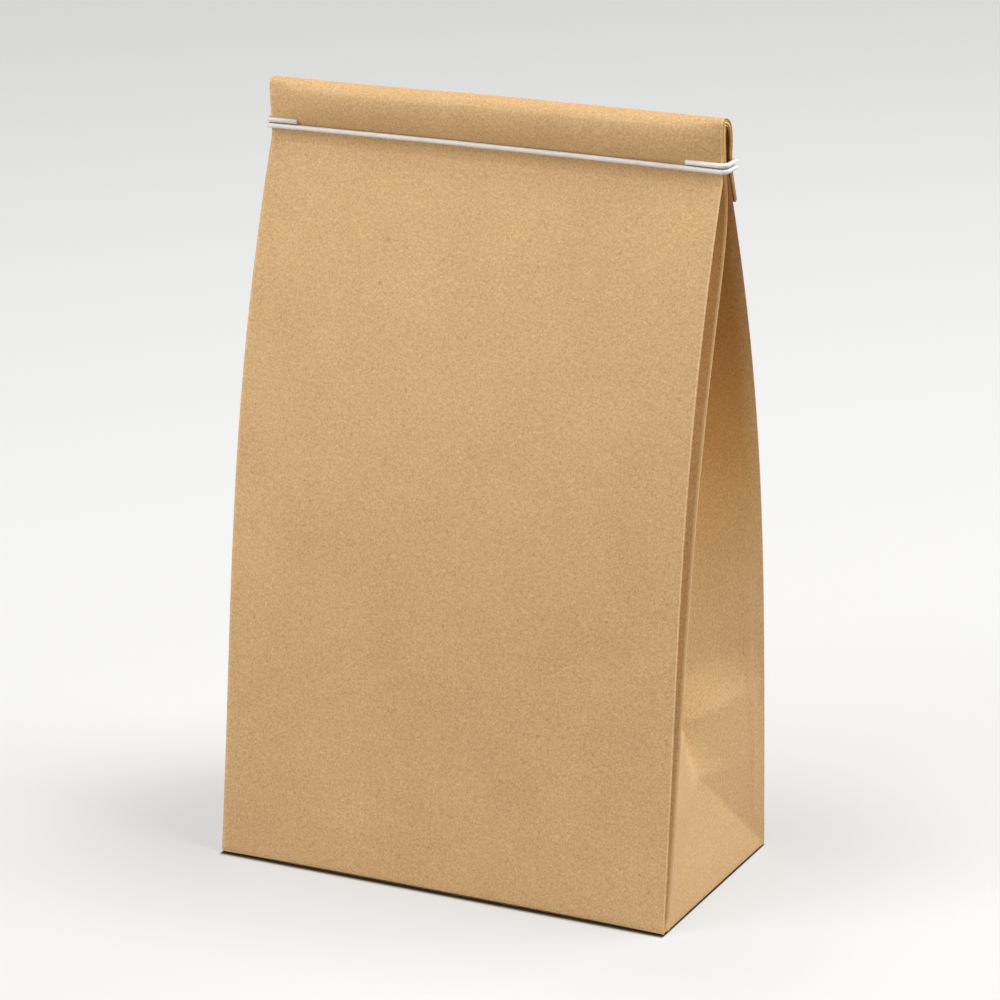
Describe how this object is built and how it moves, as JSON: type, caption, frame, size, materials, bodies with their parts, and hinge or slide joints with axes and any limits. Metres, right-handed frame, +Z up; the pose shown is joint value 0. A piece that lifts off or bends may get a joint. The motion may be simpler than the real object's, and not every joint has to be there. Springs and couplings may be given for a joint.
{
  "type": "tin tie bag",
  "caption": "Closed brown kraft paper bag with side gussets and a flat block bottom, its top folded over and held by a white coated wire tie.",
  "frame": {"origin": "middle of the foot, on the surface that the bag stands on", "axes": "+Z up towards the fold, front panel with the tie's long run facing -Y, +X to the right of someone facing the front"},
  "size_m": [0.1224, 0.0634, 0.1917],
  "materials": {
    "kraft_paper": "uncoated brown kraft paper, matt with a faint machine finish",
    "tie_coating": "warm white plastic coating, satin"
  },
  "bodies": {
    "root": {"paper_bag": "kraft_paper", "tin_tie": "tie_coating"}
  },
  "joints": []
}
